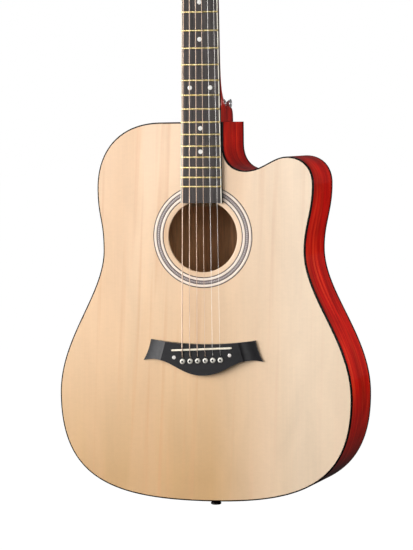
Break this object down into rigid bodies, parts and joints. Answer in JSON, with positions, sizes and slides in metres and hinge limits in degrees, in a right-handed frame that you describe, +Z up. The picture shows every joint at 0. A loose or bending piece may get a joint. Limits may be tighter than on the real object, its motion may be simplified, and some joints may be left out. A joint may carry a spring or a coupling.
{
  "type": "acoustic guitar",
  "caption": "Steel-string acoustic guitar with a dreadnought-shaped body, single cutaway, round soundhole, moustache bridge and geared open tuners.",
  "frame": {"origin": "centre line of the neck, at the front edge of the nut on the neck top, in the plane of the soundboard", "axes": "+Z up along the neck towards the headstock, +X towards the treble (cutaway) side, +Y from the soundboard towards the back, so the front faces -Y"},
  "size_m": [0.4026, 0.1231, 1.0473],
  "materials": {
    "soundboard_wood": "satin, straight vertical grain",
    "cherry_wood": "high gloss, see-through cherry red",
    "black_binding": "gloss",
    "cream_binding": "gloss",
    "inner_wood": "bare, sawn and sanded",
    "rosette_rings": "satin, thin dark and light rings",
    "board_wood": "satin, open pore",
    "bridge_wood": "satin",
    "head_veneer": "gloss",
    "fret_wire": "polished",
    "bone": "satin",
    "string_bronze": "wound, bright",
    "string_steel": "plain, bright",
    "pin_plastic": "gloss ivory",
    "chrome": "polished",
    "rod_steel": "machined",
    "black_trim": "gloss"
  },
  "bodies": {
    "guitar": {"headstock_veneer": "head_veneer", "truss_rod_cover": "black_trim", "tuner_plate_bass": "chrome", "tuner_plate_treble": "chrome", "soundboard": "soundboard_wood", "rosette": "rosette_rings", "back": "cherry_wood", "top_binding": "black_binding", "back_binding": "black_binding", "side_bass": "cherry_wood", "side_treble": "cherry_wood", "neck_block": "inner_wood", "top_lining": "inner_wood", "back_lining": "inner_wood", "tail_block": "inner_wood", "end_pin": "black_trim", "x_brace_a": "inner_wood", "x_brace_b": "inner_wood", "upper_brace": "inner_wood", "tone_bar_upper": "inner_wood", "tone_bar_lower": "inner_wood", "bridge_plate": "inner_wood", "back_brace_1": "inner_wood", "back_brace_2": "inner_wood", "back_brace_3": "inner_wood", "neck": "cherry_wood", "heel_cap": "black_trim", "strap_button": "chrome", "fretboard": "board_wood", "fretboard_binding_bass": "cream_binding", "fretboard_binding_treble": "cream_binding", "frets": "fret_wire", "nut": "bone", "bridge": "bridge_wood", "saddle": "bone", "string_6": "string_bronze", "string_5": "string_bronze", "string_4": "string_bronze", "string_3": "string_bronze", "string_2": "string_steel", "string_1": "string_steel"},
    "tuner_post_6": {"tuner_post_6": "chrome"},
    "tuner_key_6": {"tuner_key_6": "chrome"},
    "tuner_post_5": {"tuner_post_5": "chrome"},
    "tuner_key_5": {"tuner_key_5": "chrome"},
    "tuner_post_4": {"tuner_post_4": "chrome"},
    "tuner_key_4": {"tuner_key_4": "chrome"},
    "tuner_post_3": {"tuner_post_3": "chrome"},
    "tuner_key_3": {"tuner_key_3": "chrome"},
    "tuner_post_2": {"tuner_post_2": "chrome"},
    "tuner_key_2": {"tuner_key_2": "chrome"},
    "tuner_post_1": {"tuner_post_1": "chrome"},
    "tuner_key_1": {"tuner_key_1": "chrome"},
    "truss_rod": {"truss_rod": "rod_steel"},
    "bridge_pin_6": {"bridge_pin_6": "pin_plastic"},
    "bridge_pin_5": {"bridge_pin_5": "pin_plastic"},
    "bridge_pin_4": {"bridge_pin_4": "pin_plastic"},
    "bridge_pin_3": {"bridge_pin_3": "pin_plastic"},
    "bridge_pin_2": {"bridge_pin_2": "pin_plastic"},
    "bridge_pin_1": {"bridge_pin_1": "pin_plastic"}
  },
  "joints": [
    {"name": "tuner_key_6_turn", "type": "hinge", "parent": "guitar", "child": "tuner_key_6", "pos_m": [-0.022, 0.03286, 0.05205], "axis": [1, 0, 0], "continuous": true},
    {"name": "tuner_post_6_turn", "type": "hinge", "parent": "guitar", "child": "tuner_post_6", "pos_m": [-0.022, 0.03078, 0.0437], "axis": [0, 0.9703, -0.2419], "continuous": true},
    {"name": "tuner_key_5_turn", "type": "hinge", "parent": "guitar", "child": "tuner_key_5", "pos_m": [-0.022, 0.04145, 0.08649], "axis": [1, 0, 0], "continuous": true},
    {"name": "tuner_post_5_turn", "type": "hinge", "parent": "guitar", "child": "tuner_post_5", "pos_m": [-0.022, 0.03937, 0.07815], "axis": [0, 0.9703, -0.2419], "continuous": true},
    {"name": "tuner_key_4_turn", "type": "hinge", "parent": "guitar", "child": "tuner_key_4", "pos_m": [-0.022, 0.05004, 0.12094], "axis": [1, 0, 0], "continuous": true},
    {"name": "tuner_post_4_turn", "type": "hinge", "parent": "guitar", "child": "tuner_post_4", "pos_m": [-0.022, 0.04795, 0.1126], "axis": [0, 0.9703, -0.2419], "continuous": true},
    {"name": "tuner_key_3_turn", "type": "hinge", "parent": "guitar", "child": "tuner_key_3", "pos_m": [0.022, 0.05004, 0.12094], "axis": [1, 0, 0], "continuous": true},
    {"name": "tuner_post_3_turn", "type": "hinge", "parent": "guitar", "child": "tuner_post_3", "pos_m": [0.022, 0.04795, 0.1126], "axis": [0, 0.9703, -0.2419], "continuous": true},
    {"name": "tuner_key_2_turn", "type": "hinge", "parent": "guitar", "child": "tuner_key_2", "pos_m": [0.022, 0.04145, 0.08649], "axis": [1, 0, 0], "continuous": true},
    {"name": "tuner_post_2_turn", "type": "hinge", "parent": "guitar", "child": "tuner_post_2", "pos_m": [0.022, 0.03937, 0.07815], "axis": [0, 0.9703, -0.2419], "continuous": true},
    {"name": "tuner_key_1_turn", "type": "hinge", "parent": "guitar", "child": "tuner_key_1", "pos_m": [0.022, 0.03286, 0.05205], "axis": [1, 0, 0], "continuous": true},
    {"name": "tuner_post_1_turn", "type": "hinge", "parent": "guitar", "child": "tuner_post_1", "pos_m": [0.022, 0.03078, 0.0437], "axis": [0, 0.9703, -0.2419], "continuous": true},
    {"name": "bridge_pin_6_pull", "type": "slide", "parent": "guitar", "child": "bridge_pin_6", "axis": [0, -1, 0], "range_m": [0, 0.03]},
    {"name": "bridge_pin_5_pull", "type": "slide", "parent": "guitar", "child": "bridge_pin_5", "axis": [0, -1, 0], "range_m": [0, 0.03]},
    {"name": "bridge_pin_4_pull", "type": "slide", "parent": "guitar", "child": "bridge_pin_4", "axis": [0, -1, 0], "range_m": [0, 0.03]},
    {"name": "bridge_pin_3_pull", "type": "slide", "parent": "guitar", "child": "bridge_pin_3", "axis": [0, -1, 0], "range_m": [0, 0.03]},
    {"name": "bridge_pin_2_pull", "type": "slide", "parent": "guitar", "child": "bridge_pin_2", "axis": [0, -1, 0], "range_m": [0, 0.03]},
    {"name": "bridge_pin_1_pull", "type": "slide", "parent": "guitar", "child": "bridge_pin_1", "axis": [0, -1, 0], "range_m": [0, 0.03]},
    {"name": "truss_rod_turn", "type": "hinge", "parent": "guitar", "child": "truss_rod", "pos_m": [0, 0.007, -0.18], "axis": [0, 0, 1], "range_deg": [-180, 180]}
  ],
  "couplings": [
    {"joint": "tuner_post_6_turn", "follows": "tuner_key_6_turn", "ratio": 0.071429},
    {"joint": "tuner_post_5_turn", "follows": "tuner_key_5_turn", "ratio": 0.071429},
    {"joint": "tuner_post_4_turn", "follows": "tuner_key_4_turn", "ratio": 0.071429},
    {"joint": "tuner_post_3_turn", "follows": "tuner_key_3_turn", "ratio": -0.071429},
    {"joint": "tuner_post_2_turn", "follows": "tuner_key_2_turn", "ratio": -0.071429},
    {"joint": "tuner_post_1_turn", "follows": "tuner_key_1_turn", "ratio": -0.071429}
  ]
}
